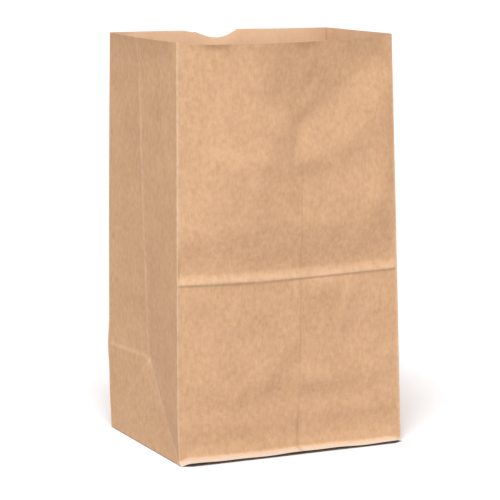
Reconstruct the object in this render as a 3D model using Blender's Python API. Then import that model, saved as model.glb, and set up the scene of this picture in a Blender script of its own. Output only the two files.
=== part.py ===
"""Brown paper lunch bag: one sheet of kraft paper, lapped into a tube, gusseted and folded shut at the base.

The bag stands open. -Y is the wide front with the pasted lap seam, +Y is the back with the thumb notch in
its rim, and -X and +X are the two gussets. The base lies on the plane z = 0, with its middle at the origin.

A box net is cut along every fold of the sheet, its corners are moved to the shape that the opened paper
takes, and Solidify gives it the paper's thickness: one ply in the walls, two in the lap, up to three in
the base. All sizes are in metres.
"""

import math

import bmesh
import bpy
from mathutils import Vector

# ---- Driving dimensions ----
BAG_WIDTH = 0.204
BAG_DEPTH = 0.150
BAG_HEIGHT = 0.340
PAPER = 0.00012

# The folded base: two end flaps inside, two long flaps outside that lap over each other in the middle.
BASE_LAP = 0.024
FLAP_DEPTH = (BAG_DEPTH + BASE_LAP) / 2

# The pasted seam on the front: its free edge, and how far the plies overlap.
SEAM_EDGE_X = 0.006
SEAM_LAP = 0.018
SEAM_RAMP = 0.010

# The rim: a shallow round thumb notch in the back panel, and a front that is cut a little lower.
NOTCH_WIDTH = 0.039
NOTCH_DEPTH = 0.0064
NOTCH_X = -0.0036
FRONT_RIM_DROP = 0.002
RIM_STEP_WIDTH = 0.009

# Folds that the flat, packed bag left in the walls.
GUSSET_APEX_Z = BAG_DEPTH / 2
BACK_CREASE_Z = BAG_DEPTH / 2
FRONT_CREASE_Z = BAG_DEPTH - 0.004

# How the opened bag stands. Each rim corner is moved by (x, y) from the corner of a true box.
RIM_SHIFT = {
    (-1, -1): (0.0005, -0.0005),
    (1, -1): (-0.0082, 0.0070),
    (-1, 1): (0.0030, -0.0010),
    (1, 1): (0.0024, -0.0008),
}
FRONT_BOW = 0.025
BOW_PEAK_X = -0.028
BOW_POWER_LEFT = 1.9
BOW_POWER_RIGHT = 1.15
BACK_BOW = -0.004
LEFT_CREASE_AT_RIM = 0.003
LEFT_CREASE_AT_APEX = -0.007
RIGHT_CREASE_AT_RIM = -0.006
RIGHT_CREASE_AT_APEX = -0.005

# The pressed ridge across the front, the fold at the foot of the front and the kinks at the base crease.
RIDGE_OUT = 0.0016
RIDGE_RISE = 0.008
RIDGE_LIP = 0.0006
FOOT_OUT = 0.0014
FOOT_ROLL = 0.0008
FOOT_RISE = 0.005
KINK_OUT = 0.0012
KINK_RISE = 0.030

# How fine the net is cut.
STEP_RUN = PAPER
ROW_PITCH = 0.024
COLUMN_PITCH = 0.017

NODE_NAME = "paper_bag"
HALF_WIDTH = BAG_WIDTH / 2
HALF_DEPTH = BAG_DEPTH / 2


def clear_scene():
    """Removes every object, so the script gives the same model each time."""
    for item in list(bpy.data.objects):
        bpy.data.objects.remove(item, do_unlink=True)


# ---- The cut lines of the net ----
def evenly(low, high, pitch):
    """Places from low up to high, at most one pitch apart, without the two ends."""
    count = max(1, math.ceil((high - low) / pitch))
    return [low + (high - low) * i / count for i in range(1, count)]


def fill_between(marks, pitch):
    """The marks in order, with evenly spaced places added wherever two are more than a pitch apart."""
    marks = sorted(marks)
    places = list(marks)
    for low, high in zip(marks, marks[1:]):
        places += evenly(low, high, pitch)
    return sorted(places)


def row_heights():
    """Heights of the cuts round the walls: each crease has its own, and the ridge has three."""
    marks = [
        0.0,
        FOOT_ROLL,
        FOOT_RISE,
        GUSSET_APEX_Z,
        FRONT_CREASE_Z - RIDGE_LIP,
        FRONT_CREASE_Z,
        FRONT_CREASE_Z + RIDGE_RISE,
        BAG_HEIGHT,
    ]
    return [z for z in fill_between(marks, ROW_PITCH) if 0.0 < z < BAG_HEIGHT]


def both_sides(edge):
    """The two cuts that hold the step at a ply's free edge."""
    return [edge - STEP_RUN / 2, edge + STEP_RUN / 2]


def column_places():
    """Cuts across the width: the seam's two free edges, the end flaps' edges, and the spaces between."""
    inner_seam_edge = SEAM_EDGE_X - SEAM_LAP
    end_flap_edge = HALF_WIDTH - FLAP_DEPTH
    marks = [-HALF_WIDTH, inner_seam_edge - SEAM_RAMP, HALF_WIDTH]
    for edge in (inner_seam_edge, SEAM_EDGE_X, -end_flap_edge, end_flap_edge):
        marks += both_sides(edge)
    return [x for x in fill_between(marks, COLUMN_PITCH) if abs(x) < HALF_WIDTH]


def depth_places():
    """Cuts across the depth: the gusset's centre crease and the long flaps' free edges."""
    marks = [-HALF_DEPTH, 0.0, HALF_DEPTH]
    for edge in (-BASE_LAP / 2, BASE_LAP / 2):
        marks += both_sides(edge)
    return [y for y in fill_between(marks, COLUMN_PITCH) if abs(y) < HALF_DEPTH]


# ---- The net ----
def cut(net, faces, point, normal):
    """Cuts the given faces along the plane through point."""
    edges = {edge for face in faces for edge in face.edges}
    verts = {vert for face in faces for vert in face.verts}
    parts = list(faces) + list(edges) + list(verts)
    bmesh.ops.bisect_plane(net, geom=parts, dist=1e-7, plane_co=point, plane_no=normal)


def faces_towards(net, axis, sign):
    """The net's faces that look along one axis."""
    return [face for face in net.faces if face.normal[axis] * sign > 0.9]


def cut_net():
    """An open-topped box of one skin, cut along the folds, the seam and the flaps."""
    net = bmesh.new()
    bmesh.ops.create_cube(net, size=1.0)
    bmesh.ops.scale(net, vec=(BAG_WIDTH, BAG_DEPTH, BAG_HEIGHT), verts=net.verts)
    bmesh.ops.translate(net, vec=(0, 0, BAG_HEIGHT / 2), verts=net.verts)
    net.normal_update()
    bmesh.ops.delete(net, geom=faces_towards(net, 2, 1), context="FACES_ONLY")

    for z in row_heights():
        cut(net, net.faces[:], (0, 0, z), (0, 0, 1))
    for x in column_places():
        cut(net, net.faces[:], (x, 0, 0), (1, 0, 0))
    for y in depth_places():
        cut(net, net.faces[:], (0, y, 0), (0, 1, 0))

    for side in (-1, 1):
        for end in (-1, 1):
            gusset = [f for f in faces_towards(net, 0, side) if f.calc_center_median().z < GUSSET_APEX_Z]
            gusset = [f for f in gusset if f.calc_center_median().y * end > 0]
            cut(net, gusset, (0, 0, GUSSET_APEX_Z), (0, end, HALF_DEPTH / GUSSET_APEX_Z))
            corner = Vector((side * HALF_WIDTH, end * HALF_DEPTH, 0))
            for shift in (-STEP_RUN / 2, STEP_RUN / 2):
                quarter = [f for f in faces_towards(net, 2, -1) if flap_quarter(f, side, end)]
                cut(net, quarter, corner - Vector((side * shift, 0, 0)), (side, -end, 0))
    return net


def flap_quarter(face, side, end):
    """True for the base faces that a long flap's slanted edge from this corner can cross."""
    middle = face.calc_center_median()
    return middle.y * end > -BASE_LAP / 2 - STEP_RUN and middle.x * side > 0


# ---- Plies ----
def long_flap_plies(x, y):
    """How many of the two long flaps lie under a place on the base."""
    plies = 0
    for end in (-1, 1):
        reach = HALF_DEPTH - y * end
        if reach < FLAP_DEPTH and abs(x) < HALF_WIDTH - reach:
            plies += 1
    return plies


def plies_at(flat):
    """How many plies of paper the net has at a point: it sets the thickness there."""
    on_base = flat.z < 1e-6
    inside_edges = abs(flat.x) < HALF_WIDTH - 1e-6 and abs(flat.y) < HALF_DEPTH - 1e-6
    if on_base and inside_edges:
        end_flap = 1 if abs(flat.x) > HALF_WIDTH - FLAP_DEPTH else 0
        return max(1, long_flap_plies(flat.x, flat.y) + end_flap)
    on_front = flat.y < -HALF_DEPTH + 1e-6
    in_lap = SEAM_EDGE_X - SEAM_LAP < flat.x < SEAM_EDGE_X
    if on_front and in_lap and not on_base:
        return 2
    return 1


# ---- The standing shape ----
def ramp(value, low, high):
    """0 below low, 1 above high, and a straight line between."""
    return min(1.0, max(0.0, (value - low) / (high - low)))


def tent(value, peak, below, above):
    """1 at the peak, falling straight to 0 at the given distances below and above it."""
    if value < peak:
        return max(0.0, 1 - (peak - value) / below)
    return max(0.0, 1 - (value - peak) / above)


def lean(flat):
    """The shift that the leaning corners give a point, shared over the bag by its place."""
    right = flat.x / BAG_WIDTH + 0.5
    back = flat.y / BAG_DEPTH + 0.5
    height = flat.z / BAG_HEIGHT
    shift = Vector((0, 0, 0))
    for (side, end), (dx, dy) in RIM_SHIFT.items():
        share = (right if side > 0 else 1 - right) * (back if end > 0 else 1 - back)
        shift += Vector((dx, dy, 0)) * share * height
    return shift


def front_bow(flat):
    """The front's bow: it grows straight from the base to the rim and is fullest left of the middle."""
    from_peak = flat.x - BOW_PEAK_X
    if from_peak < 0:
        fall = (-from_peak / (HALF_WIDTH + BOW_PEAK_X)) ** BOW_POWER_LEFT
    else:
        fall = (from_peak / (HALF_WIDTH - BOW_PEAK_X)) ** BOW_POWER_RIGHT
    return FRONT_BOW * max(0.0, 1 - fall) * flat.z / BAG_HEIGHT


def front_out(flat):
    """How far the front stands out: the bow that grows to the rim, the ridge, the foot and the lap."""
    bow = front_bow(flat)
    clear_of_corner = clear_of_corners(flat)
    ridge = RIDGE_OUT * tent(flat.z, FRONT_CREASE_Z, RIDGE_LIP, RIDGE_RISE)
    foot = FOOT_OUT * (0.6 + 0.4 * ramp(flat.z, 0, FOOT_ROLL)) * (1 - ramp(flat.z, FOOT_ROLL, FOOT_RISE))
    inner_edge = SEAM_EDGE_X - SEAM_LAP
    lap = PAPER * ramp(flat.x, inner_edge - SEAM_RAMP, inner_edge - STEP_RUN / 2)
    lap *= 1 - ramp(flat.x, SEAM_EDGE_X - STEP_RUN / 2, SEAM_EDGE_X + STEP_RUN / 2)
    lap *= ramp(flat.z, 0, FOOT_ROLL)
    return bow + (ridge + foot) * clear_of_corner + lap


def clear_of_corners(flat):
    """0 at the front's two upright folds, 1 beyond the width of the rim's step."""
    return min(1.0, (HALF_WIDTH - abs(flat.x)) / RIM_STEP_WIDTH)


def back_out(flat):
    """How far the back stands out: a slight bow and the kink where the base was folded up against it."""
    across = flat.x / HALF_WIDTH
    bow = BACK_BOW * (1 - across**2) * flat.z / BAG_HEIGHT
    kink = KINK_OUT * tent(flat.z, BACK_CREASE_Z, KINK_RISE, KINK_RISE)
    return bow + kink


def gusset_out(flat, at_rim, at_apex):
    """How far a gusset stands out: a V about its centre crease, and a flat triangle under the apex."""
    from_corner = 1 - abs(flat.y) / HALF_DEPTH
    up = ramp(flat.z, GUSSET_APEX_Z, BAG_HEIGHT)
    crease = at_apex + (at_rim - at_apex) * up
    triangle = flat.z / GUSSET_APEX_Z
    kink = KINK_OUT * tent(flat.z, BACK_CREASE_Z, KINK_RISE, KINK_RISE) * ramp(flat.y, 0, HALF_DEPTH)
    return crease * min(from_corner, triangle) + kink


def base_level(flat):
    """Height of the base's under-side: lowest where both long flaps lie under it."""
    return PAPER * (2 - long_flap_plies(flat.x, flat.y))


def standing(flat):
    """Moves a point of the box net to its place on the standing bag."""
    point = flat + lean(flat)
    on_wall = flat.z > 1e-6
    if flat.y < -HALF_DEPTH + 1e-6:
        point.y -= front_out(flat)
        near_rim = ramp(flat.z, BAG_HEIGHT - ROW_PITCH, BAG_HEIGHT)
        point.z -= FRONT_RIM_DROP * near_rim * clear_of_corners(flat)
    elif flat.y > HALF_DEPTH - 1e-6 and on_wall:
        point.y += back_out(flat)
    if flat.x < -HALF_WIDTH + 1e-6 and on_wall:
        point.x -= gusset_out(flat, LEFT_CREASE_AT_RIM, LEFT_CREASE_AT_APEX)
    elif flat.x > HALF_WIDTH - 1e-6 and on_wall:
        point.x += gusset_out(flat, RIGHT_CREASE_AT_RIM, RIGHT_CREASE_AT_APEX)
    if not on_wall:
        point.z = base_level(flat)
    return point


# ---- The bag ----
def kraft_material():
    """Unbleached kraft paper: light brown and matt."""
    kraft = bpy.data.materials.new("kraft_paper")
    kraft.use_nodes = True
    shader = kraft.node_tree.nodes["Principled BSDF"]
    shader.inputs["Base Color"].default_value = (0.55, 0.33, 0.19, 1.0)
    shader.inputs["Roughness"].default_value = 0.85
    shader.inputs["Metallic"].default_value = 0.0
    kraft.diffuse_color = (0.55, 0.33, 0.19, 1.0)
    return kraft


def notch_cutter():
    """A round bar across the back panel, as wide in the rim as the thumb notch and as deep."""
    radius = ((NOTCH_WIDTH / 2) ** 2 + NOTCH_DEPTH**2) / (2 * NOTCH_DEPTH)
    bpy.ops.mesh.primitive_cylinder_add(
        vertices=96,
        radius=radius,
        depth=BAG_DEPTH / 2,
        location=(NOTCH_X, HALF_DEPTH, BAG_HEIGHT - NOTCH_DEPTH + radius),
        rotation=(math.pi / 2, 0, 0),
    )
    cutter = bpy.context.object
    cutter.name = "thumb_notch_cutter"
    cutter.hide_render = True
    cutter.display_type = "WIRE"
    return cutter


def build_bag():
    """The bag as one closed solid, with its plies fused where they are pasted."""
    net = cut_net()
    flats = [vert.co.copy() for vert in net.verts]
    most_plies = 3
    for vert, flat in zip(net.verts, flats):
        vert.co = standing(flat)
    mesh = bpy.data.meshes.new(NODE_NAME)
    net.to_mesh(mesh)
    net.free()

    bag = bpy.data.objects.new(NODE_NAME, mesh)
    bpy.context.collection.objects.link(bag)
    mesh.materials.append(kraft_material())
    plies = bag.vertex_groups.new(name="plies")
    for index, flat in enumerate(flats):
        plies.add([index], plies_at(flat) / most_plies, "REPLACE")

    paper = bag.modifiers.new("paper", "SOLIDIFY")
    paper.thickness = PAPER * most_plies
    paper.offset = -1
    paper.use_even_offset = True
    paper.vertex_group = plies.name

    notch = bag.modifiers.new("thumb_notch", "BOOLEAN")
    notch.operation = "DIFFERENCE"
    notch.solver = "EXACT"
    notch.object = notch_cutter()
    return bag


clear_scene()
build_bag()
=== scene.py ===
# %% [markdown]
# # Dressing a brown paper bag
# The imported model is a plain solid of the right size: one sheet of kraft paper folded into an open bag.
# This lesson lays a finer sheet over it, with the soft folds that real paper keeps, gives it a kraft
# finish, and sets it in a pale studio. We start by loading the model and noting its box, because the
# fine sheet may hardly grow past it.

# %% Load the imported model
import math
import bpy
import numpy as np
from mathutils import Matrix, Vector


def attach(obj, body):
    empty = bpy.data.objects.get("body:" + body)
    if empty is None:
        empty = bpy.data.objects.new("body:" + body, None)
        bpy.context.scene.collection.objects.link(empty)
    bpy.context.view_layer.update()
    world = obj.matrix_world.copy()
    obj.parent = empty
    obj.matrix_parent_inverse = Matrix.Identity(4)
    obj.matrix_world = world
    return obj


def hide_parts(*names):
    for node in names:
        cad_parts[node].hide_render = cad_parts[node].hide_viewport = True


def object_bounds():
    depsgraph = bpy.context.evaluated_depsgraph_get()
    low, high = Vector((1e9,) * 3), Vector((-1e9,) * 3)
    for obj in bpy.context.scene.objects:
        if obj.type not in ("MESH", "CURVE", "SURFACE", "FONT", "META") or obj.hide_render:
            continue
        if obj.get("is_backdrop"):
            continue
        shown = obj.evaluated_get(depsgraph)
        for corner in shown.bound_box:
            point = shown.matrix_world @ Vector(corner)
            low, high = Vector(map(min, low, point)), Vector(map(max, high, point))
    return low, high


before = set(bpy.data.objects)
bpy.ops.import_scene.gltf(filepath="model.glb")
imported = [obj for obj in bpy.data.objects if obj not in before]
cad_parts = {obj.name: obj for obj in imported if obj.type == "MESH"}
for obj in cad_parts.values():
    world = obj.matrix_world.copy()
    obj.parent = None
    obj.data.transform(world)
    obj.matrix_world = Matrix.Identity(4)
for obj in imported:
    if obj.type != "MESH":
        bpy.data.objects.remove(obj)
cad_box = [list(corner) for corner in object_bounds()]
bag_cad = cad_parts["paper_bag"]
print("packed model:", [round(v * 1000, 1) for v in np.subtract(cad_box[1], cad_box[0])], "mm")

# %% [markdown]
# ## Taking the bag's own sizes from the model
# The foot of the bag is a true rectangle, apart from the front's flared fold. So the width is read from
# the foot's two sides, and the depth from its back, which has no flare. From here on the lesson works in
# millimetres, because paper folds are easier to think of in them, and turns to metres at the very end.

# %% Measure the foot and the height
MM = 0.001
FOOT_SLICE = 0.5
corners = np.array([vertex.co for vertex in bag_cad.data.vertices]) / MM
foot = corners[corners[:, 2] < FOOT_SLICE]
WIDTH = round(float(np.ptp(foot[:, 0])))
DEPTH = round(float(foot[:, 1].max() * 2))
HEIGHT = round(float(corners[:, 2].max()))
HALF_W, HALF_D = WIDTH / 2, DEPTH / 2
print("width", WIDTH, "depth", DEPTH, "height", HEIGHT)

# %% [markdown]
# ## The lines that matter
# A bag of this kind is made from a tube of paper. One lapped seam runs up its front, each side is pleated
# inwards, and the foot is folded flat. Three creases meet on each side, half a depth above the foot: the
# pleat and two slanted ones. Packed flat, the folded base is pressed against the front, which leaves a
# line across it. The rim of the back has a shallow notch for the thumb.

# %% Place the creases, the seam and the notch
PAPER = 0.12
APEX_Z = HALF_D
CREASE_Z = DEPTH - 3
SEAM_EDGE = 6.0
SEAM_LAP = 18.0
NOTCH_X = -4.3
NOTCH_HALF = 19.2
print("creases meet at", APEX_Z, "mm; the pressed line is at", CREASE_Z, "mm")

# %% [markdown]
# ## Where the sheet is ruled
# The sheet is one grid that runs round the four walls. A crease only looks crisp if a line of the grid
# lies on it, so the grid gets extra lines at the folds and an even spacing between them. The gussets are
# ruled with squares below the point where their creases meet: there the slanted creases, at 45 degrees,
# run exactly through the squares' corners.

# %% Rule the rows and columns
PITCH = 3.0
BESIDE_FOLD = [0.5, 1.2, 2.0, 3.2, 4.2]
BESIDE_PLEAT = 0.8
BESIDE_PRESSED_LINE = [-4, -2.4, -1.4, -0.8, -0.3, 0.3, 1, 2, 3, 4, 5, 6, 7, 8.2, 10]
BELOW_RIM = [8, 6, 4.5, 3, 2, 1, 0]
BESIDE_SEAM = [-1.2, -0.5, -0.06, 0.06, 0.5, 1.2]


def spread(marks, pitch):
    """The marks in order, with even steps no longer than the pitch between them."""
    marks = sorted(set(marks))
    places = [marks[0]]
    for low, high in zip(marks, marks[1:]):
        steps = max(1, math.ceil((high - low) / pitch - 1e-9))
        places += [low + (high - low) * i / steps for i in range(1, steps + 1)]
    return np.array(places)


squares = math.ceil(HALF_D / PITCH)
from_fold = [HALF_D * i / squares for i in range(squares + 1)] + BESIDE_FOLD + [HALF_D - BESIDE_PLEAT]
line_rows = [CREASE_Z + step for step in BESIDE_PRESSED_LINE]
rows = spread(from_fold + line_rows + [HEIGHT - step for step in BELOW_RIM], PITCH)

along = spread([HALF_D - t for t in from_fold] + [t - HALF_D for t in from_fold], PITCH)
seam_marks = [SEAM_EDGE + step for step in BESIDE_SEAM] + [SEAM_EDGE - SEAM_LAP]
fold_marks = [side * (HALF_W - step) for step in [0] + BESIDE_FOLD for side in (-1, 1)]
across = spread(fold_marks + seam_marks + [NOTCH_X - NOTCH_HALF, NOTCH_X + NOTCH_HALF], PITCH)
print(len(rows), "rows,", len(across), "columns on a wide side,", len(along), "on a gusset")

# %% [markdown]
# ## Small tools for folded paper
# Folded paper is made of nearly flat patches that meet in soft ridges. One tool makes them all: `ridge`
# raises a line on a wall, falling away straight to each side like a tent, with its top rounded. A
# negative height makes a valley. The others are a smooth step, a soft hump beside a line, and a mask that
# leaves a wall's upright folds where they are, so that neighbouring walls still meet.

# %% Steps and humps
def ease(value, low, high):
    """A smooth step from 0 at low to 1 at high."""
    t = np.clip((value - low) / (high - low), 0, 1)
    return t * t * (3 - 2 * t)


def hump(distance, width):
    """1 on a line, faded out at about two widths beside it."""
    return np.exp(-((distance / width) ** 2))


def clear_of_folds(place, half, reach):
    """0 on a wall's two upright folds, easing to 1 a reach away from them."""
    return ease(half - np.abs(place), 0, reach)


print("a step at its quarters:", ease(np.array([0, 0.25, 0.5, 0.75, 1]), 0, 1).round(2))

# %% Ridges
TENT_ROUNDING = 0.02


def tent(distance, left, right, soft):
    """1 on the line, falling straight to 0 at `left` or `right` of it, with its corners rounded."""
    side = np.where(distance < 0, left, right)
    rest = 1 - (np.sqrt(distance**2 + soft**2) - soft) / side
    return 0.5 * (rest + np.sqrt(rest**2 + TENT_ROUNDING)) - TENT_ROUNDING / 4


def ridge(u, v, start, end, height, left, right, soft=2.0, fade=8.0):
    """A ridge from start to end on a wall; left and right are its two widths, seen along the line."""
    start, end = np.array(start, float), np.array(end, float)
    length = np.hypot(*(end - start))
    direction = (end - start) / length
    along_line = (u - start[0]) * direction[0] + (v - start[1]) * direction[1]
    off_line = (u - start[0]) * direction[1] - (v - start[1]) * direction[0]
    keep = ease(along_line, -fade, fade) * (1 - ease(along_line, length - fade, length + fade))
    return height * tent(off_line, left, right, soft) * keep


def folded(u, v, folds):
    """All the ridges and valleys of a wall together."""
    return sum(ridge(u, v, *fold) for fold in folds)


print("a tent 10 wide, at 0 and 5:", tent(np.array([0.0, 5.0]), 10, 10, 1.0).round(2))

# %% Waves
def cockle(u, v, seed, wavelength, count=14):
    """Gentle uneven waves, as paper gets from damp and handling: about 1 high, with no pattern."""
    dice = np.random.default_rng(seed)
    total = np.zeros_like(u)
    for _ in range(count):
        angle = dice.uniform(0, math.tau)
        stretch = dice.uniform(0.7, 1.5) * math.tau / wavelength
        phase = dice.uniform(0, math.tau)
        total = total + np.sin(stretch * (u * math.cos(angle) + v * math.sin(angle)) + phase)
    return total / math.sqrt(count)


def wall_cockle(u, z, height, seed, wavelength):
    """A wall's waves, which die out towards the foot, where the paper is held flat."""
    return height * cockle(u, z, seed, wavelength) * ease(z, 4, 30)


print("a wave at one place:", cockle(np.zeros(1), np.zeros(1), 3, 34).round(2))

# %% [markdown]
# ## The front's folds
# The wide front carries most of what makes paper look like paper: a few broad, shallow facets, one long
# slanted hollow below the right rim corner, and small buckles beside the seam. Noise would give them at
# random. They are listed one by one instead, so that each can be placed and made wide or sharp. Heights
# are a millimetre or two, since a raking light shows even that.

# %% List the front's folds
FRONT_FOLDS = [
    # start, end, height, left width, right width, rounding, fade at the ends
    ((60, 345), (-28, 345), 1.6, 50, 50, 2.0, 8),
    ((90, 328), (2, 267), -4.0, 35, 56, 2.5, 7),
    ((26, 297), (0, 279), 0.8, 6, 12, 1.0, 5),
    ((17, 328), (4, 299), 0.8, 5, 10, 1.0, 5),
    ((-27, 269), (-5, 267), 1.5, 17, 26, 1.5, 6),
    ((90, 282), (48, 252), 0.8, 26, 24, 3.0, 8),
    ((54, 254), (3, 242), 1.1, 15, 28, 2.5, 7),
    ((0, 243), (26, 243), 1.2, 16, 9, 1.5, 6),
    ((-140, 182), (-30, 190), 2.1, 130, 40, 10.0, 26),
    ((-78, 249), (-47, 239), 2.1, 10, 44, 1.0, 7),
    ((-38, 244), (-8, 241), 1.2, 14, 12, 2.0, 7),
    ((-70, 234), (4, 229), 1.7, 62, 42, 6.0, 14),
    ((3, 272), (5, 198), -1.3, 7, 9, 1.5, 12),
    ((84, 300), (86, 196), 2.2, 22, 40, 3.0, 14),
    ((-6, 186), (90, 198), 1.8, 32, 36, 8.0, 9),
    ((0, 138), (46, 140), 1.9, 9, 38, 2.0, 8),
    ((54, 142), (45, 104), 1.7, 16, 3.6, 0.5, 12),
    ((-46, 124), (-12, 122), 0.7, 14, 20, 2.0, 8),
    ((45, 110), (41, 86), 0.9, 8, 3, 0.5, 8),
    ((8, 99), (-34, 58), 1.1, 12, 30, 1.5, 9),
    ((-43, 67), (-53, 44), 0.9, 7, 2.5, 0.4, 4),
    ((110, 66), (-110, 60), 1.0, 14, 34, 5.0, 8),
    ((6, 60), (40, 57), 1.0, 13, 10, 1.5, 8),
    ((98, 74), (36, 66), 0.4, 14, 30, 2.0, 8),
    ((110, 34), (-110, 30), 0.5, 10, 16, 3.0, 8),
    ((96, 34), (4, 32), 0.4, 6, 12, 1.0, 8),
]
print("the front's folds:", len(FRONT_FOLDS))

# %% [markdown]
# ## How the front stands
# The bag was packed flat and then opened, so no wall is flat. The front bows out towards the rim, since
# the near right corner has swung in, and the whole wall bulges a little half way up. At its foot the
# springy fold flares forward. Each wall has one function that says how far it stands out from a true box
# at every point, which keeps the walls easy to change one at a time.

# %% The front's bow and bulge
BOW = 25.0
BOW_PEAK_X = -33.0
BULGE = 2.8
BULGE_Z = 190.0


def front_bow(x, z):
    """The bow: none at the base, growing evenly to the rim, and fullest left of the middle."""
    left = (np.clip(BOW_PEAK_X - x, 0, None) / (HALF_W + BOW_PEAK_X)) ** 1.3
    right = (np.clip(x - BOW_PEAK_X, 0, None) / (HALF_W - BOW_PEAK_X)) ** 1.25
    return BOW * (1 - left - right) * z / HEIGHT


def front_bulge(z):
    """How far the whole front wall, corners too, bulges at a height."""
    return BULGE * np.minimum(z / BULGE_Z, (HEIGHT - z) / (HEIGHT - BULGE_Z))


print("the bow at the middle of the rim:", round(float(front_bow(0.0, HEIGHT)), 1), "mm")

# %% The line pressed across the front
DRAWN_IN = 2.2
DEEPEST = 9.4
LEVEL_AGAIN = 46
TUCKED = 0.9


def pressed_line(rise):
    """The line the folded base pressed across the front: rolled over, tucked under, and drawn in above."""
    drawn_in = DRAWN_IN * ease(rise, 0.8, DEEPEST) * (1 - ease(rise, DEEPEST, LEVEL_AGAIN))
    tucked = TUCKED * (1 - ease(rise, -1.2, 0.5)) * (1 - 0.25 * ease(-rise, 1.2, 14))
    return -drawn_in - tucked


print("just above and just below the line:", pressed_line(np.array([DEEPEST, -1.2])).round(1), "mm")

# %% The front's foot and rim
FLARE = 6.0
FLARE_TOP = 3.7
FOOT_SPREAD = 2.2
FOOT_SPREAD_TOP = 16
FRONT_CURL = 1.0
RIM_LIPS = [
    # x of the middle, half length, depth below the rim, how far it turns out
    (-74, 13, 6, 1.9),
    (6, 9, 6, 1.5),
]


def foot_flare(x, z, off_fold):
    """The fold along the foot springs forward, most at the left, under a softer spread of the wall."""
    sprung = np.clip(1 - z / FLARE_TOP, 0, 1) ** 1.5 * (0.62 - 0.18 * x / HALF_W + 0.43 * off_fold)
    softer = np.clip(1 - z / FOOT_SPREAD_TOP, 0, 1) ** 1.3 * off_fold
    return FLARE * sprung + FOOT_SPREAD * softer


def rim_curl(z, drop):
    """1 at the rim, easing to 0 a drop below it: a cut edge of paper curls out a little."""
    return np.clip(1 - (HEIGHT - z) / drop, 0, 1) ** 2


def front_rim(x, z):
    """The curl along the front's rim, with its small turned-out lips."""
    out = FRONT_CURL * rim_curl(z, 24) * clear_of_folds(x, HALF_W, 34)
    for lip_x, reach, drop, lip in RIM_LIPS:
        out = out + lip * hump(x - lip_x, reach) * rim_curl(z, drop)
    return out


print("the foot flares by", round(float(foot_flare(0.0, 0.0, 1.0)), 1), "mm at its middle")

# %% The whole front
FRONT_COCKLE = 0.16


def front_out(x, z):
    """How far the front stands out, in millimetres."""
    off_fold = clear_of_folds(x, HALF_W, 9)
    out = front_bow(x, z) + pressed_line(z - CREASE_Z) * clear_of_folds(x, HALF_W, 3.5)
    out = out + foot_flare(x, z, off_fold) + front_rim(x, z)
    return out + (folded(x, z, FRONT_FOLDS) + wall_cockle(x, z, FRONT_COCKLE, 3, 34)) * off_fold


middle = front_out(np.zeros(3), np.array([APEX_Z, CREASE_Z, HEIGHT]))
print("the front's middle stands out by", middle.round(1), "mm, low, at the line and at the rim")

# %% [markdown]
# ## The gussets and the back
# A gusset is pleated: a crease runs down its middle and meets two slanted ones half a depth above the
# base. Under them lies a flat triangle that leans in. A level crease crosses the back half of each gusset
# and the whole back, where the base was folded up against it.

# %% The gussets
GUSSET_FOLDS = [
    ((-60, 250), (-8, 170), 0.7, 16, 22, 2.0),
    ((62, 300), (10, 215), -0.8, 22, 18, 2.0),
]
GUSSET_CURL = 2.4
GUSSET_COCKLE = 0.14
PLEAT_RIDGE = 0.5
GUSSET_LEVEL_CREASE = 0.9


def gusset_out(y, z, at_rim, at_apex, seed):
    """How far a gusset stands out: a V about its centre crease and a leaning triangle under it."""
    from_corner = 1 - np.abs(y) / HALF_D
    up = np.clip((z - APEX_Z) / (HEIGHT - APEX_Z), 0, 1)
    crease = at_apex + (at_rim - at_apex) * up**0.8
    out = crease * np.minimum(from_corner, z / APEX_Z)
    out = out + PLEAT_RIDGE * np.exp(-np.abs(y) / 3.0) * ease(z, APEX_Z - 2, APEX_Z + 6)
    out = out + GUSSET_LEVEL_CREASE * tent(z - APEX_Z, 26, 20, 0.4) * ease(y, -4, 18)
    soft = wall_cockle(y, z, GUSSET_COCKLE, seed, 30) + folded(y, z, GUSSET_FOLDS)
    return out + (soft + GUSSET_CURL * rim_curl(z, 24)) * clear_of_folds(y, HALF_D, 10)


print("the gussets' folds:", len(GUSSET_FOLDS))

# %% The back
BACK_FOLDS = [
    ((-70, 330), (10, 262), 1.1, 24, 30, 3.0),
    ((88, 300), (20, 215), -1.4, 30, 22, 3.0),
    ((-60, 210), (20, 150), 0.9, 18, 26, 2.0),
    ((-30, 68), (-52, 20), 0.7, 14, 20, 1.5),
    ((40, 70), (70, 24), -0.7, 16, 16, 1.5),
]
BACK_HOLLOW = 4.0
BACK_LEVEL_CREASE = 1.3
BACK_CURL = 3.2
BACK_COCKLE = 0.16


def back_out(x, z):
    """How far the back stands out: a slight hollow and the level crease."""
    out = -BACK_HOLLOW * (1 - (x / HALF_W) ** 2) * z / HEIGHT
    out = out + BACK_LEVEL_CREASE * tent(z - APEX_Z, 30, 22, 0.4)
    out = out + BACK_CURL * rim_curl(z, 26) * clear_of_folds(x, HALF_W, 30)
    soft = folded(x, z, BACK_FOLDS) + wall_cockle(x, z, BACK_COCKLE, 11, 36)
    return out + soft * clear_of_folds(x, HALF_W, 9)


print("the back's folds:", len(BACK_FOLDS))

# %% [markdown]
# ## The folded base
# The base is made of flaps. The two end flaps lie inside, over the two long flaps, whose slanted ends
# start at the corners and whose free edges lap in the middle. The bag rests on that lap. Each ply is
# only a paper's thickness, so the steps are small, but they catch the light. The fold along the front's
# foot is springy and stands a little off the table, unevenly.

# %% The base
FLAP = HALF_D + 12.0
GAP = 0.02
FRONT_FLAP_Z, BACK_FLAP_Z, SHEET_Z, END_FLAP_Z = [GAP / 2 + (PAPER + GAP) * i for i in range(4)]
LIFT = 2.25
LIFT_REACH = 26
SIDE_LIFT = 0.4


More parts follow.
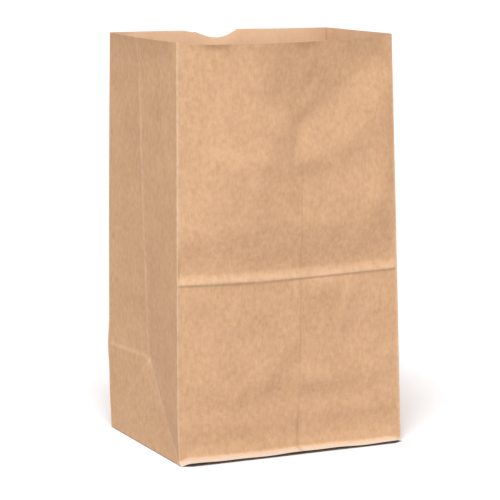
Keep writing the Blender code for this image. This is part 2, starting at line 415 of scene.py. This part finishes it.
def front_lift(x, y):
    """How far the base stands off the table: a little at its sides, more and unevenly along the front."""
    wave = LIFT + 0.35 * np.sin(x / 17.0 + 0.6) + 0.2 * np.sin(x / 7.0 + 2.0)
    front = wave * clear_of_folds(x, HALF_W, 7) * (1 - ease(y, -HALF_D, -HALF_D + LIFT_REACH))
    sides = SIDE_LIFT * ease(np.abs(x), HALF_W - 22, HALF_W) * clear_of_folds(y, HALF_D, 12)
    return front + sides


print("flaps reach", FLAP, "mm in, and the front stands off by", front_lift(0, -HALF_D).round(1), "mm")

# %% [markdown]
# ## The seam and the notch
# The tube's seam is one edge of the web pasted over the other, so its outer ply stands one paper higher
# up to its edge. Near the foot it stands a little prouder and has been pulled to the left. The notch is
# cut from the back's rim as a shallow curve, and the rim dips a little beside it.

# %% The lap and the cut rim
SEAM_SWING = 1.4
SEAM_SWING_WIDTH = 9
NOTCH_DEPTH = 6.4
SHOULDER = 1.6
RISE_BESIDE_NOTCH = 0.4
FRONT_RIM_DIP = 2.0
CUT_REACH = 30


def seam_step(x, z):
    """The lap of the pasted seam: one paper up at its edge, and pressed flatter towards the rim."""
    up = (PAPER + GAP) * (1.1 - ease(z, 60, 300) + 1.2 * (1 - ease(z, 18, 44)))
    return up * ease(x, SEAM_EDGE - SEAM_LAP - 10, SEAM_EDGE - SEAM_LAP) * (x < SEAM_EDGE)


def seam_swing(x, z):
    """How far the seam leans to the left near the foot."""
    return SEAM_SWING * hump(x - SEAM_EDGE, SEAM_SWING_WIDTH) * (1 - ease(z, 24, 48)) * ease(z, 0, 2)


def back_cut(x):
    """How far the back's rim is cut down: the notch, a shoulder left of it, a slight rise at its right."""
    off_notch = x - NOTCH_X
    notch = np.clip(1 - (off_notch / NOTCH_HALF) ** 2, 0, None) * NOTCH_DEPTH
    shoulder = SHOULDER * hump(off_notch + NOTCH_HALF + 2, 6)
    return notch + (shoulder - RISE_BESIDE_NOTCH * hump(off_notch - NOTCH_HALF - 10, 16))


print("the notch is", round(float(back_cut(NOTCH_X)), 1), "mm deep and", 2 * NOTCH_HALF, "mm wide")

# %% [markdown]
# ## Standing the sheet up
# Each rim corner of an opened bag moves away from the corner of a true box. The table below says how
# far, and every point of the bag shares the move by its place. Then the walls' own shapes are added.

# %% From flat net to standing bag
RIM_MOVES = {
    # (left -1 or right 1, front -1 or back 1): how far the rim's corner moves along x, y and z
    (-1, -1): (0.5, -0.5, 0),
    (1, -1): (-8.5, 7.0, 1.7),
    (-1, 1): (3.0, -1.0, 0.4),
    (1, 1): (2.4, -0.8, 0),
}
FOOT_TUCK = 1.3
EDGE_BULGE = 0.9
BULGE_TO_LEFT = 0.46
LEFT_GUSSET = (3.0, -7.0, 21)  # how far the pleat stands out at the rim and where the creases meet; seed
RIGHT_GUSSET = (-1.5, -5.0, 23)
TOUCHING = 1e-6


def walls_at(x, y):
    """Which points lie on the front, on the back, on the left gusset and on the right one."""
    on_front, on_back = y < -HALF_D + TOUCHING, y > HALF_D - TOUCHING
    return on_front, on_back, x < -HALF_W + TOUCHING, x > HALF_W - TOUCHING


def stand(x, y, z):
    """The place of each point (x, y, z) of the box net on the standing bag."""
    px, py, pz = x.copy(), y.copy(), z.copy()
    for (side, end), (move_x, move_y, move_z) in RIM_MOVES.items():
        share = (0.5 + side * x / WIDTH) * (0.5 + end * y / DEPTH) * z / HEIGHT
        px, py, pz = px + move_x * share, py + move_y * share, pz + move_z * share
    px = px + FOOT_TUCK * (1 - ease(z, 0, 40)) * np.clip(-x / HALF_W, 0, 1)

    front, back, left, right = walls_at(x, y)
    py = py - np.where(front, front_out(x, z), 0) + np.where(back & (z > 0), back_out(x, z), 0)
    px = px - np.where(left, gusset_out(y, z, *LEFT_GUSSET), 0)
    px = px + np.where(right, gusset_out(y, z, *RIGHT_GUSSET), 0)
    px = px - np.where(x < 0, EDGE_BULGE * np.sin(math.pi * z / HEIGHT) * (0.5 + y / DEPTH), 0)
    forward = front_bulge(z) * (0.5 - y / DEPTH)
    px, py = px - BULGE_TO_LEFT * forward, py - forward
    px = px - np.where(front, seam_swing(x, z), 0)
    py = py - np.where(front, seam_step(x, z), 0)

    near_rim = np.clip((z - HEIGHT + CUT_REACH) / CUT_REACH, 0, 1)
    pz = pz - np.where(back, back_cut(x) * near_rim, 0)
    pz = pz - np.where(front, FRONT_RIM_DIP * clear_of_folds(x, HALF_W, 8) * near_rim, 0)
    lift = front_lift(x, y)
    settle = 1 - ease(z, 0, 12)
    return px, py, np.where(z < TOUCHING, SHEET_Z + lift, pz + lift * settle * ~back)


print("rim corners moved:", len(RIM_MOVES))

# %% [markdown]
# ## Building the mesh
# The bag could be cut from a cube and sculpted, but then no edge would lie on a crease. Here the grid's
# points are worked out all at once, and joined into four-sided faces round the walls and across the base.
# Faces that a slanted crease crosses are split along it.

# %% Points and faces of the walls
def wall_columns():
    """The (x, y) of each column, once round the bag, anticlockwise from the near left corner."""
    columns = [(x, -HALF_D) for x in across[:-1]]
    columns += [(HALF_W, y) for y in along[:-1]]
    columns += [(x, HALF_D) for x in across[:0:-1]]
    columns += [(-HALF_W, y) for y in along[:0:-1]]
    return np.array(columns)


ring = wall_columns()
wall_points = [(x, y, z) for z in rows for x, y in ring]
base_points = [(x, y, 0.0) for y in along[1:-1] for x in across[1:-1]]
flat = np.array(wall_points + base_points)

row, column = np.divmod(np.arange((len(rows) - 1) * len(ring)), len(ring))
here = row * len(ring) + column
there = row * len(ring) + (column + 1) % len(ring)
quads = np.stack([here, there, there + len(ring), here + len(ring)], axis=1)
print(len(flat), "points,", len(quads), "wall faces")

# %% Split the faces on the slanted creases
places = flat[quads]
to_crease = np.abs(places[..., 1]) + places[..., 2] - HALF_D
on_gusset = np.all(np.abs(np.abs(places[..., 0]) - HALF_W) < TOUCHING, axis=1)
crossed = on_gusset & (to_crease.min(axis=1) < -TOUCHING) & (to_crease.max(axis=1) > TOUCHING)
faces = quads[~crossed].tolist()
for quad, offs in zip(quads[crossed].tolist(), np.abs(to_crease[crossed])):
    first = int(np.argmin(offs))
    a, b, c, d = quad[first:] + quad[:first]
    faces += [(a, b, c), (a, c, d)]
print(int(crossed.sum()), "faces split")

# %% Lay the base
def key_of(x, y):
    """A place on the base as a pair that can be looked up."""
    return round(x, 4), round(y, 4)


lowest = {key_of(x, y): i for i, (x, y) in enumerate(ring)}
lowest.update({key_of(x, y): len(wall_points) + i for i, (x, y, z) in enumerate(base_points)})
for y, next_y in zip(along, along[1:]):
    for x, next_x in zip(across, across[1:]):
        corners_of_face = [(x, y), (x, next_y), (next_x, next_y), (next_x, y)]
        faces.append([lowest[key_of(*corner)] for corner in corners_of_face])
print(len(faces), "faces in all")

# %% [markdown]
# ## A sheet with a thickness
# A single layer of faces would have no edge at the rim, and couldn't be made. Solidify gives the sheet its
# thickness, inwards, so that it is a closed solid like the real paper, 0.12 mm thick.

# %% Make the sheet
def paper_mesh(name, places, polygons):
    """A mesh piece from places in millimetres."""
    mesh = bpy.data.meshes.new(name)
    mesh.from_pydata((places * MM).tolist(), [], polygons)
    mesh.validate()
    mesh.shade_smooth()
    piece = bpy.data.objects.new(name, mesh)
    bpy.context.scene.collection.objects.link(piece)
    return piece


def thicken(piece):
    """Gives a sheet its paper's thickness on the inner side. The inner places come after the outer ones."""
    solid = piece.modifiers.new("paper", "SOLIDIFY")
    solid.thickness = PAPER * MM
    solid.offset = -1
    solid.use_even_offset = True
    solid.use_quality_normals = True


bag = paper_mesh("kraft_bag", np.column_stack(stand(*flat.T)), faces)
thicken(bag)
print("bag:", len(bag.data.polygons), "faces before it is thickened")

# %% [markdown]
# ## Worn folds, a painted sheen and painted shade
# Where kraft is creased its fibres break and the line turns paler. The mesh carries that as a number at
# each point, called `wear`: 1 on a crease, fading to 0 beside it. Two more numbers are carried the same
# way. One is a painted highlight: the fold along the front's foot, whose flare turns up to the lamp, is
# painted a greyish white for its sheen. The other is a dark line along the seam's edge, partly the glue
# that shows there and partly painted shade, the shadow of the lapped edge. The finish reads them later.
# Numbers on the mesh stay with the paper, while a painted picture would have to be fitted to it.

# %% Wear along the creases
CREASE_WIDTH = 1.2
LINE_WIDTH = 3.0
EDGE_WIDTH = 1.0
MEETING_SIZE = 4.0

x, y, z = flat.T
front_wall, back_wall, left_wall, right_wall = walls_at(x, y)
to_slanted = (np.abs(y) + z - HALF_D) / math.sqrt(2)
slanted = hump(to_slanted, CREASE_WIDTH) * (z <= APEX_Z) * (0.2 + 0.25 * (y < 0))
meeting = hump(np.hypot(y, z - APEX_Z + 3), MEETING_SIZE) * 0.9
pleat = hump(y, CREASE_WIDTH) * ease(z, APEX_Z - 1, APEX_Z) * 0.6
level = hump(z - APEX_Z, CREASE_WIDTH) * ease(y, -1, 2) * 0.6
upright = hump(HALF_W - np.abs(x), EDGE_WIDTH) * hump(HALF_D - np.abs(y), EDGE_WIDTH) * 0.8

wear = np.where(left_wall | right_wall, np.maximum.reduce([slanted, pleat, level, meeting]), 0)
wear = np.where(back_wall, hump(z - APEX_Z, 1.3) * 0.75, wear)
wear = np.where(front_wall, hump(z - CREASE_Z - 1.5, LINE_WIDTH) * 0.5, wear)
wear = np.maximum(wear, np.where(z > 0, upright, 0))
print("worn points:", int((wear > 0.5).sum()))

# %% The painted sheen on the foot, and the glue and painted shade line
def mark(piece, name, values):
    """Writes one number at each point of a piece's mesh."""
    attribute = piece.data.attributes.new(name, "FLOAT", "POINT")
    attribute.data.foreach_set("value", np.asarray(values, dtype=np.float32))


# Painted highlight: the fold along the front's foot is painted a greyish white, the sheen where its flare
# faces up to the lamp.
painted_foot_sheen = np.where(front_wall, 1 - ease(z, 0.8, 3.8), 0)
# Partly glue, partly painted shade: a dark line beside the seam's edge, wider and darker near the foot,
# where the lap stands proudest, and faded out towards the rim.
low = 1 - ease(z, 24, 44)
paste_and_edge_shade = hump(x - SEAM_EDGE - 0.2, 0.8 + 0.6 * low) * (1 - ease(z, 200, 245)) * (0.38 + 0.5 * low)
paste_and_edge_shade = np.where(front_wall, paste_and_edge_shade, 0)
for name, values in (("wear", wear), ("painted_foot_sheen", painted_foot_sheen), ("paste_and_edge_shade", paste_and_edge_shade)):
    mark(bag, name, values)
print("rubbed points:", int((painted_foot_sheen > 0.5).sum()), "and pasted ones:", int((paste_and_edge_shade > 0.3).sum()))

# %% [markdown]
# ## The base's flaps
# The long flaps are trapezoids under the base, and the end flaps are rectangles inside it. Each is laid as
# its own thin ply, a little clear of the next, and joined to the bag's mesh, since it is the same sheet.
# Plies that were only drawn on would cast no shadow and would leave no step at their edges.

# %% Lay one ply
FOLD_INSET = 0.6
FLAP_PITCH = 4.5
EDGE_BAND = 1.0
LONG_FLAP_INNER = 37
LONG_FLAP_COLUMNS = LONG_FLAP_INNER + 2
END_FLAP_COLUMNS = 31


def grid_faces(count, columns, flip=False):
    """The faces of a grid of so many places, laid in rows of so many columns."""
    polygons = []
    for start in range(0, count - columns, columns):
        for i in range(start, start + columns - 1):
            quad = [i, i + 1, i + columns + 1, i + columns]
            polygons.append(quad[::-1] if flip else quad)
    return polygons


def flap_grid(rows_of_places, level, flip):
    """One ply from rows of (x, y) places, laid at a level and lifted with the front's foot."""
    places = np.array([place for row_of_places in rows_of_places for place in row_of_places])
    x, y, z = stand(places[:, 0], places[:, 1], np.zeros(len(places)))
    polygons = grid_faces(len(places), len(rows_of_places[0]), flip)
    return np.column_stack([x, y, z + level - SHEET_Z]), polygons


print("a long flap is ruled in", LONG_FLAP_COLUMNS, "columns, an end flap in", END_FLAP_COLUMNS)

# %% The flaps' shapes
def long_flap(end, level):
    """The trapezoid folded in from the front (end -1) or the back (end 1)."""
    strips = []
    for reach in spread([FOLD_INSET, FLAP - EDGE_BAND, FLAP], FLAP_PITCH):
        half = HALF_W - reach
        inner = np.linspace(EDGE_BAND - half, half - EDGE_BAND, LONG_FLAP_INNER)
        strips.append([(place, end * (HALF_D - reach)) for place in [-half, *inner, half]])
    return flap_grid(strips, level, flip=end < 0)


def end_flap(side, level):
    """The rectangle folded in from a gusset, ruled on the base's own columns so that it lies flat on it."""
    reaches = HALF_W - side * across
    between = sorted(reaches[(reaches > FOLD_INSET) & (reaches < FLAP)])
    steps = np.linspace(-1, 1, END_FLAP_COLUMNS)
    strips = [[(side * (HALF_W - reach), t * (HALF_D - FOLD_INSET)) for t in steps]
              for reach in [FOLD_INSET, *between, FLAP]]
    return flap_grid(strips, level, flip=side > 0)


print("the free edge of a long flap is", WIDTH - 2 * FLAP, "mm long")

# %% The seam's inner ply
SEAM_PLY_PITCH = 3
SEAM_PLY_FOOT = 2.5


def seam_ply():
    """The inner ply of the lapped seam, which runs up the front behind its outer one."""
    columns = spread([SEAM_EDGE - SEAM_LAP, SEAM_EDGE], SEAM_PLY_PITCH)
    u, v = (part.ravel() for part in np.meshgrid(columns, rows[rows > SEAM_PLY_FOOT]))
    x, y, z = stand(u, np.full_like(u, -HALF_D), v)
    y = y + seam_step(u, v) + PAPER + GAP
    return np.column_stack([x, y, z]), grid_faces(len(u), len(columns))


print("the seam's inner ply is", SEAM_LAP, "mm wide")

# %% [markdown]
# ## Marks on the plies, with painted shade and painted light
# The cut edges of the two long flaps get the same dark mark as the seam: partly glue, partly painted shade
# along each edge. The end flaps and the seam's inner ply show the inner side of the paper, painted paler
# than the outer one, as is the inner side of the whole sheet: painted light, for the light that falls
# within the bag. That is a fourth number.

# %% Make the plies
def at_cut_edge(count):
    """Which of a long flap's places lie on its slanted ends or its free edge."""
    number = np.arange(count)
    in_row = number % LONG_FLAP_COLUMNS
    return (in_row == 0) | (in_row == LONG_FLAP_COLUMNS - 1) | (number >= count - LONG_FLAP_COLUMNS)


outer_plies = [("front_flap", long_flap(-1, FRONT_FLAP_Z)), ("back_flap", long_flap(1, BACK_FLAP_Z))]
inner_plies = [
    ("left_end_flap", end_flap(-1, END_FLAP_Z)),
    ("right_end_flap", end_flap(1, END_FLAP_Z)),
    ("seam_ply", seam_ply()),
]
flaps = [paper_mesh(name, *shape) for name, shape in outer_plies + inner_plies]
outer_flaps, inner_flaps = flaps[: len(outer_plies)], flaps[len(outer_plies) :]
# Partly glue, partly painted shade: a dark line along each long flap's slanted ends and free edge.
for flap in outer_flaps:
    mark(flap, "paste_and_edge_shade", at_cut_edge(len(flap.data.vertices)))
for flap in flaps:
    thicken(flap)
print("flaps:", [flap.name for flap in flaps])

# %% Join the flaps to the bag
SHARP_FOLD = math.radians(50)


def set_solid(piece):
    """Makes a piece's modifiers part of its mesh."""
    graph = bpy.context.evaluated_depsgraph_get()
    mesh = bpy.data.meshes.new_from_object(piece.evaluated_get(graph), depsgraph=graph)
    piece.modifiers.clear()
    piece.data = mesh


for piece in [bag] + flaps:
    set_solid(piece)
# Painted light: the inner side of the sheet and the inner plies are painted paler, for the light that falls
# within the bag.
mark(bag, "painted_inner_light", np.arange(len(bag.data.vertices)) >= len(flat))
for flap in inner_flaps:
    mark(flap, "painted_inner_light", np.ones(len(flap.data.vertices)))
with bpy.context.temp_override(active_object=bag, selected_editable_objects=[bag] + flaps):
    bpy.ops.object.join()
bag.data.set_sharp_from_angle(angle=SHARP_FOLD)
print("bag with flaps:", sum(len(p.vertices) - 2 for p in bag.data.polygons), "triangles")

# %% [markdown]
# ## Kraft paper
# Unbleached kraft is a warm light brown, matt, and never one flat tone. Long pulp fibres lie mostly along
# the web, which runs up the bag, and the pulp gathers in small clouds. So the colour is built in layers:
# wide clouds, small mottling, and streaks stretched upwards, with a few pale and dark fibres on top. The
# same layers drive a very fine bump, so the surface catches light like paper and not like card.

# %% Noise in the paper's own space
kraft = bpy.data.materials.new("kraft_paper")
kraft.use_nodes = True
nodes, links = kraft.node_tree.nodes, kraft.node_tree.links
shader = nodes["Principled BSDF"]
place = nodes.new("ShaderNodeTexCoord").outputs["Object"]


def noise(scale, stretch=(1, 1, 1), detail=3.0, roughness=0.5, distortion=0.0):
    """A noise of so many cells a metre, stretched or squeezed along each axis."""
    mapping = nodes.new("ShaderNodeMapping")
    mapping.inputs["Scale"].default_value = stretch
    texture = nodes.new("ShaderNodeTexNoise")
    texture.inputs["Scale"].default_value = scale
    texture.inputs["Detail"].default_value = detail
    texture.inputs["Roughness"].default_value = roughness
    texture.inputs["Distortion"].default_value = distortion
    links.new(place, mapping.inputs["Vector"])
    links.new(mapping.outputs["Vector"], texture.inputs["Vector"])
    return texture.outputs["Fac"]


clouds = noise(35, detail=2.0)
mottle = noise(270, stretch=(1, 1, 0.8), detail=3.0, roughness=0.55)
streaks = noise(1500, stretch=(1, 1, 0.08), detail=3.0, roughness=0.6)
fibres = noise(2600, stretch=(1, 1, 0.2), detail=1.0, distortion=1.2)
print("noises made, with", len(nodes), "nodes so far")

# %% Helpers that combine them
def ranged(value, low, high, to_low, to_high):
    """A value spread from one range to another, held at the ends."""
    node = nodes.new("ShaderNodeMapRange")
    for name, number in zip(("From Min", "From Max", "To Min", "To Max"), (low, high, to_low, to_high)):
        node.inputs[name].default_value = number
    links.new(value, node.inputs["Value"])
    return node.outputs["Result"]


def combine(operation, first, second):
    """Two values combined; either may be a number."""
    node = nodes.new("ShaderNodeMath")
    node.operation = operation
    for socket, value in zip(node.inputs, (first, second)):
        if isinstance(value, (int, float)):
            socket.default_value = value
        else:
            links.new(value, socket)
    return node.outputs["Value"]


def blend_colour(factor, under, over):
    """A colour that goes from under to over as the factor goes from 0 to 1."""
    node = nodes.new("ShaderNodeMix")
    node.data_type = "RGBA"
    links.new(factor, node.inputs["Factor"])
    for name, colour in (("A", under), ("B", over)):
        socket = next(s for s in node.inputs if s.name == name and s.type == "RGBA")
        if isinstance(colour, tuple):
            socket.default_value = (*colour, 1)
        else:
            links.new(colour, socket)
    return next(s for s in node.outputs if s.type == "RGBA")


print("finish helpers ready")

# %% The paper's own colour
BROWN_DEEP, BROWN_LIGHT = (0.417, 0.247, 0.128), (0.543, 0.334, 0.185)
BLUSH = (0.503, 0.292, 0.183)
PALE_FIBRE, DARK_FIBRE = (0.72, 0.50, 0.34), (0.34, 0.20, 0.11)

tone = combine("ADD", ranged(clouds, 0.3, 0.7, -0.14, 0.14), ranged(mottle, 0.3, 0.7, -0.37, 0.37))
tone = combine("ADD", tone, ranged(streaks, 0.3, 0.7, -0.28, 0.28))
tone = combine("ADD", tone, 0.5)
body = blend_colour(tone, BROWN_DEEP, BROWN_LIGHT)
body = blend_colour(ranged(noise(120, detail=2.0), 0.35, 0.65, 0.0, 0.3), body, BLUSH)
body = blend_colour(ranged(fibres, 0.68, 0.78, 0.0, 0.5), body, PALE_FIBRE)
body = blend_colour(ranged(fibres, 0.30, 0.22, 0.0, 0.45), body, DARK_FIBRE)
print("paper colour:", len(nodes), "nodes")

# %% [markdown]
# ## Wear and glue, with painted sheen, shade and light
# The four numbers that the mesh carries are read here, each blending in a colour of its own: wear on the
# creases, a painted sheen on the foot, glue with painted shade at the seam and the flaps' edges, and
# painted light on the paper's inner side. The worn creases follow the mottling, since the fibres don't
# break evenly along a fold.

# %% Worn creases, painted sheen, glue with painted shade, and painted inner light
# WORN is real crease wear. The foot's greyish white is a painted highlight, the dark seam colour is partly
# glue and partly painted shade, and the paler inner colour is painted light.
WORN, PAINTED_FOOT_SHEEN = (0.69, 0.51, 0.36), (0.485, 0.405, 0.33)
PASTE_AND_EDGE_SHADE, PAINTED_INNER_LIGHT = (0.34, 0.19, 0.10), (0.76, 0.52, 0.34)


def marked(name, strength):
    """The number that the mesh carries under this name, times a strength."""
    node = nodes.new("ShaderNodeAttribute")
    node.attribute_name = name
    return combine("MULTIPLY", node.outputs["Fac"], strength)


body = blend_colour(marked("wear", ranged(mottle, 0.35, 0.6, 0.36, 0.52)), body, WORN)
# Painted highlight: a greyish-white sheen on the fold along the front's foot.
body = blend_colour(marked("painted_foot_sheen", 0.8), body, PAINTED_FOOT_SHEEN)
# Partly glue, partly painted shade: the dark line at the seam and at the flaps' cut edges.
body = blend_colour(marked("paste_and_edge_shade", 0.55), body, PASTE_AND_EDGE_SHADE)
# Painted light: the paper's inner side is painted paler.
body = blend_colour(marked("painted_inner_light", 0.5), body, PAINTED_INNER_LIGHT)
links.new(body, shader.inputs["Base Color"])
print("with its marks:", len(nodes), "nodes")

# %% The paper's surface
BUMP_HEIGHT = 0.00012
shader.inputs["Roughness"].default_value = 0.7
shader.inputs["Specular IOR Level"].default_value = 0.32
relief = combine("ADD", combine("MULTIPLY", mottle, 0.6), combine("MULTIPLY", streaks, 0.4))
bump = nodes.new("ShaderNodeBump")
bump.inputs["Strength"].default_value = 0.25
bump.inputs["Distance"].default_value = BUMP_HEIGHT
links.new(relief, bump.inputs["Height"])
links.new(bump.outputs["Normal"], shader.inputs["Normal"])
bag.data.materials.clear()
bag.data.materials.append(kraft)
print("kraft finish:", len(nodes), "nodes")

# %% [markdown]
# ## Putting the piece on the model
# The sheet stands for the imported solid, which is then hidden. A bag has no joints, so everything rides on
# the one body, called root.

# %% Ride and replace
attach(bag, "root")
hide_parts("paper_bag")
print("bag rides on root")

# %% [markdown]
# ## The studio
# A bag like this is shown on a pale sweep under soft light. The floor is a wide, nearly white sheet, laid
# a hair below the bag so that the two never touch. The light has two parts: an even warm-white sky, which
# the floor throws back up at the bag, and one wide lamp, high and to the left of the camera, which picks
# out the folds. The lamp is as wide in the sky as a large soft box, so its shadows have soft edges.

# %% The floor
FLOOR_SIZE = 60
BELOW_BAG = 0.00002
bpy.ops.mesh.primitive_plane_add(size=FLOOR_SIZE, location=(0, 20, -BELOW_BAG))
floor = bpy.context.object
floor.name = "floor"
pale_floor = bpy.data.materials.new("pale_floor")
pale_floor.use_nodes = True
floor_shader = pale_floor.node_tree.nodes["Principled BSDF"]
floor_shader.inputs["Base Color"].default_value = (0.645, 0.635, 0.622, 1)
floor_shader.inputs["Roughness"].default_value = 0.9
floor_shader.inputs["Specular IOR Level"].default_value = 0.1
floor.data.materials.append(pale_floor)
floor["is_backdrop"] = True
print("floor:", FLOOR_SIZE, "m wide")

# %% The sky and the lamp
LAMP_AZIMUTH, LAMP_ELEVATION = -29, 60
LAMP_WIDTH = math.radians(24)


def facing(azimuth, elevation):
    """The direction from the bag to a place round it. Azimuth 0 is in front, negative is to the left."""
    turn, rise = math.radians(azimuth), math.radians(elevation)
    return Vector((math.sin(turn) * math.cos(rise), -math.cos(turn) * math.cos(rise), math.sin(rise)))


sky = bpy.data.worlds.new("sky")
sky.use_nodes = True
sky.node_tree.nodes["Background"].inputs["Color"].default_value = (1.16, 1.0, 0.84, 1)
sky.node_tree.nodes["Background"].inputs["Strength"].default_value = 0.6
bpy.context.scene.world = sky

key = bpy.data.lights.new("key", "SUN")
key.energy = 4.1
key.angle = LAMP_WIDTH
key.color = (0.925, 1.0, 1.11)
key_light = bpy.data.objects.new("key", key)
key_light.rotation_euler = facing(LAMP_AZIMUTH, LAMP_ELEVATION).to_track_quat("Z", "Y").to_euler()
bpy.context.scene.collection.objects.link(key_light)
bpy.context.scene.view_settings.view_transform = "Standard"
print("studio ready")

# %% [markdown]
# ## The camera
# The bag is seen from a little left of its front and slightly from above, from about two metres away
# through a long lens, so its upright folds stay nearly parallel.

# %% Set the camera
CAMERA_AZIMUTH, CAMERA_ELEVATION = -24.86, 8.77
CAMERA_DISTANCE = 1.857
LENS = 158.7
aim = Vector((-3.2, 0, 159)) * MM
away = facing(CAMERA_AZIMUTH, CAMERA_ELEVATION)
view = bpy.data.cameras.new("camera")
view.lens = LENS
view.sensor_width = 36
view.clip_end = 100
camera = bpy.data.objects.new("camera", view)
camera.location = aim + away * CAMERA_DISTANCE
camera.rotation_euler = away.to_track_quat("Z", "Y").to_euler()
bpy.context.scene.collection.objects.link(camera)
bpy.context.scene.camera = camera
print("camera at", [round(v, 3) for v in camera.location])

# %% [markdown]
# ## How far the sheet grows
# The finished sheet's box is measured against the imported model's box, and how far it grows past it is
# printed, in millimetres. The finished sheet has to stay inside the imported model's box, give or take a
# few millimetres.

# %% Write the sizes and finish
bpy.context.view_layer.update()
visual_box = [list(corner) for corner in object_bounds()]
growth = np.subtract(visual_box, cad_box) / MM
print("grows by (mm):", growth.round(2).tolist())
